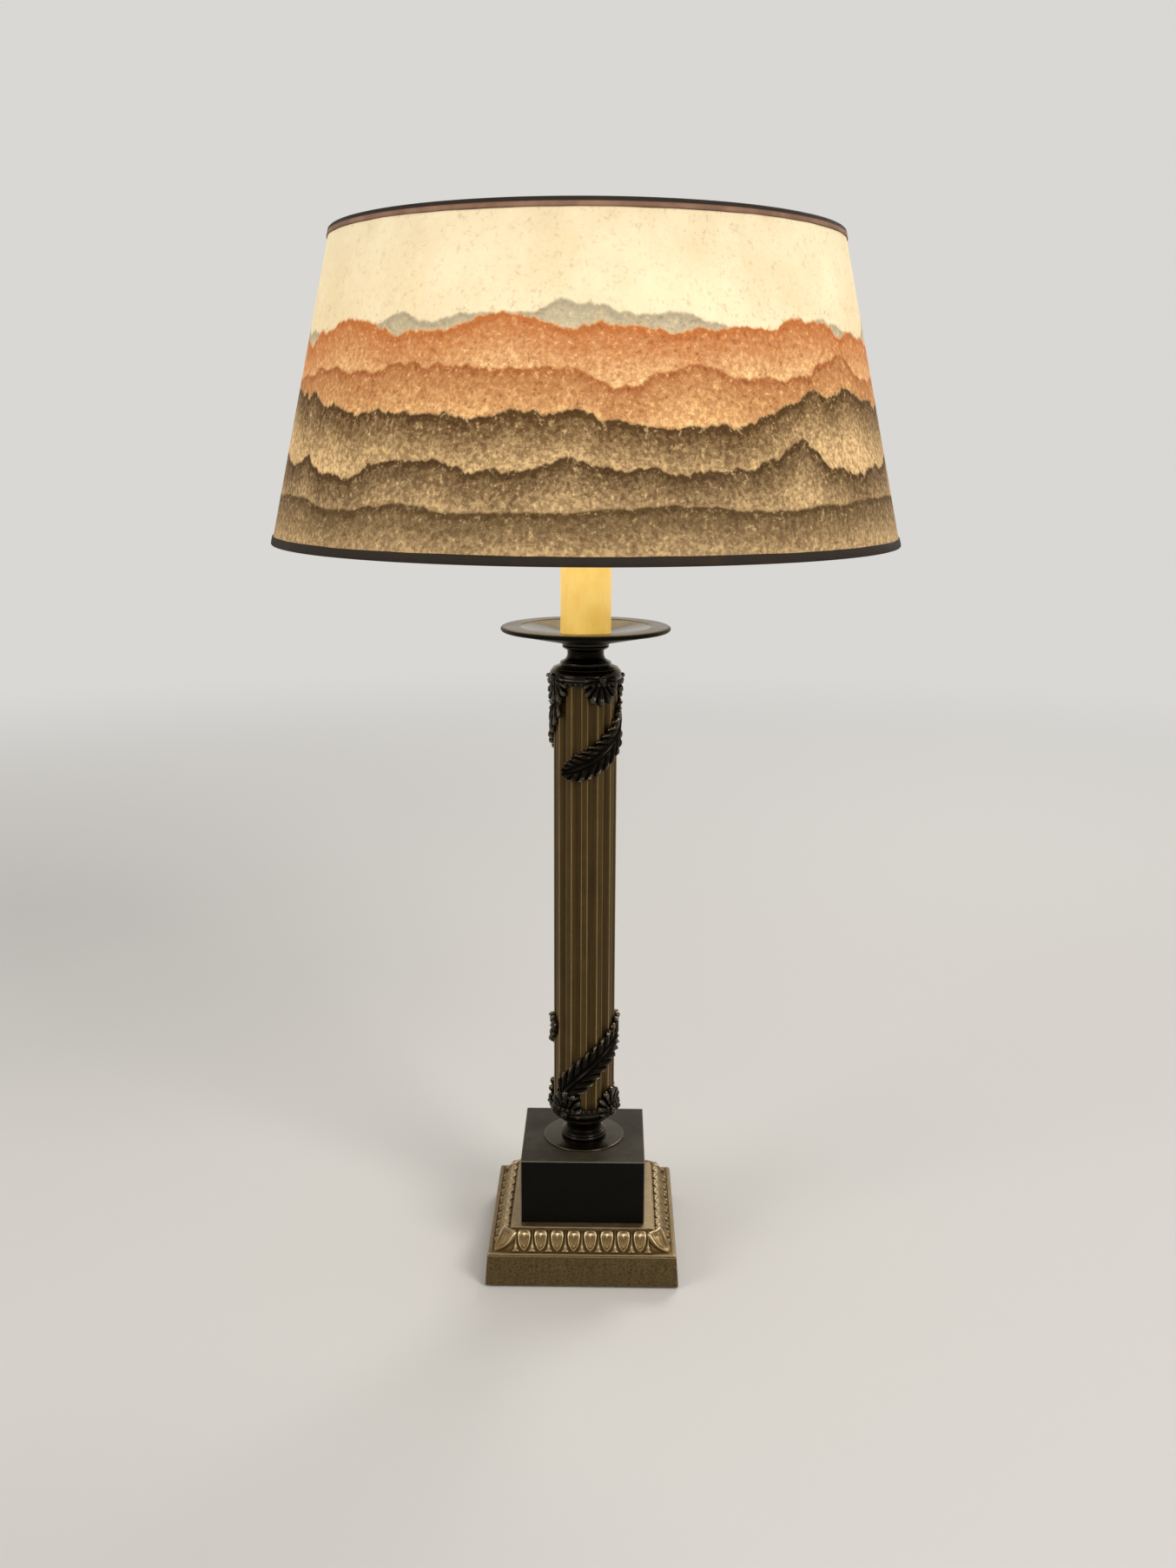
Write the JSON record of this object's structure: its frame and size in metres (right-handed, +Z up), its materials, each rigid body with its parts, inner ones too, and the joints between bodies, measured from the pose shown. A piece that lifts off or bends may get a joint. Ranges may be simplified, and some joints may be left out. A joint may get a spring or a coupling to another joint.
{
  "type": "column table lamp",
  "caption": "Table lamp: a fluted column wound with cast leaves on a square leaf-moulded base, with drip pan, candle sleeve, harp and tapered drum shade.",
  "frame": {"origin": "centre of the underside of the felt pad, on the surface that the lamp stands on", "axes": "+Z up along the column, front towards -Y, the socket's turn key at the front"},
  "size_m": [0.4572, 0.4572, 0.789],
  "materials": {
    "felt": "pressed wool felt",
    "plinth_bronze": "brown bronze over cast metal",
    "phenolic": "moulded",
    "antique_gilt": "rubbed antique gilt",
    "satin_black": "satin enamel, rubbed at the edges",
    "ballast_iron": "as cast",
    "plated_steel": "zinc plated",
    "black_bronze": "dark patina, waxed",
    "column_gilt": "brown-gold lacquer",
    "candle_cream": "waxy satin",
    "socket_brass": "lacquered brass",
    "liner_fibre": "vulcanised fibre",
    "frosted_glass": "inside frosted",
    "shade_paper": "mottled parchment paper on a stiff lining",
    "shade_tape": "folded edge tape"
  },
  "bodies": {
    "stand": {"felt_pad": "felt", "base_plinth": "plinth_bronze", "cord_bushing": "phenolic", "leaf_moulding": "antique_gilt", "pedestal_block": "satin_black", "ballast_weight": "ballast_iron", "pipe_washer": "plated_steel", "pipe_nut": "plated_steel", "seat_disc": "black_bronze", "lower_collar": "black_bronze", "lower_leaf_mount": "black_bronze", "column_shaft": "column_gilt", "upper_leaf_mount": "black_bronze", "upper_collar": "black_bronze", "bobeche": "black_bronze", "candle_sleeve": "candle_cream", "sleeve_cap": "socket_brass", "center_pipe": "plated_steel", "harp_saddle": "socket_brass", "harp_wire": "socket_brass", "harp_stud": "socket_brass", "socket_cap": "socket_brass", "socket_shell": "socket_brass", "socket_liner": "liner_fibre", "socket_body": "phenolic", "screw_shell": "socket_brass"},
    "turn_key": {"switch_shaft": "plated_steel", "switch_knob": "phenolic"},
    "bulb": {"bulb_base": "plated_steel", "bulb_glass": "frosted_glass"},
    "shade": {"shade_panel": "shade_paper", "shade_top_trim": "shade_tape", "shade_bottom_trim": "shade_tape", "shade_top_ring": "socket_brass", "shade_bottom_ring": "socket_brass", "shade_spider": "socket_brass"},
    "finial_knob": {"finial": "socket_brass"},
    "left_lock": {"left_ferrule": "socket_brass"},
    "right_lock": {"right_ferrule": "socket_brass"}
  },
  "joints": [
    {"name": "switch_turn", "type": "hinge", "parent": "stand", "child": "turn_key", "pos_m": [0, -0.019, 0.6135], "axis": [0, -1, 0], "continuous": true},
    {"name": "bulb_turn", "type": "hinge", "parent": "stand", "child": "bulb", "pos_m": [0, 0, 0.6303], "axis": [0, 0, 1], "continuous": true},
    {"name": "shade_turn", "type": "hinge", "parent": "stand", "child": "shade", "pos_m": [0, 0, 0.7628], "axis": [0, 0, 1], "continuous": true},
    {"name": "finial_turn", "type": "hinge", "parent": "stand", "child": "finial_knob", "pos_m": [0, 0, 0.77], "axis": [0, 0, 1], "continuous": true},
    {"name": "left_ferrule_slide", "type": "slide", "parent": "stand", "child": "left_lock", "axis": [0, 0, 1], "range_m": [0, 0.016]},
    {"name": "right_ferrule_slide", "type": "slide", "parent": "stand", "child": "right_lock", "axis": [0, 0, 1], "range_m": [0, 0.016]}
  ]
}
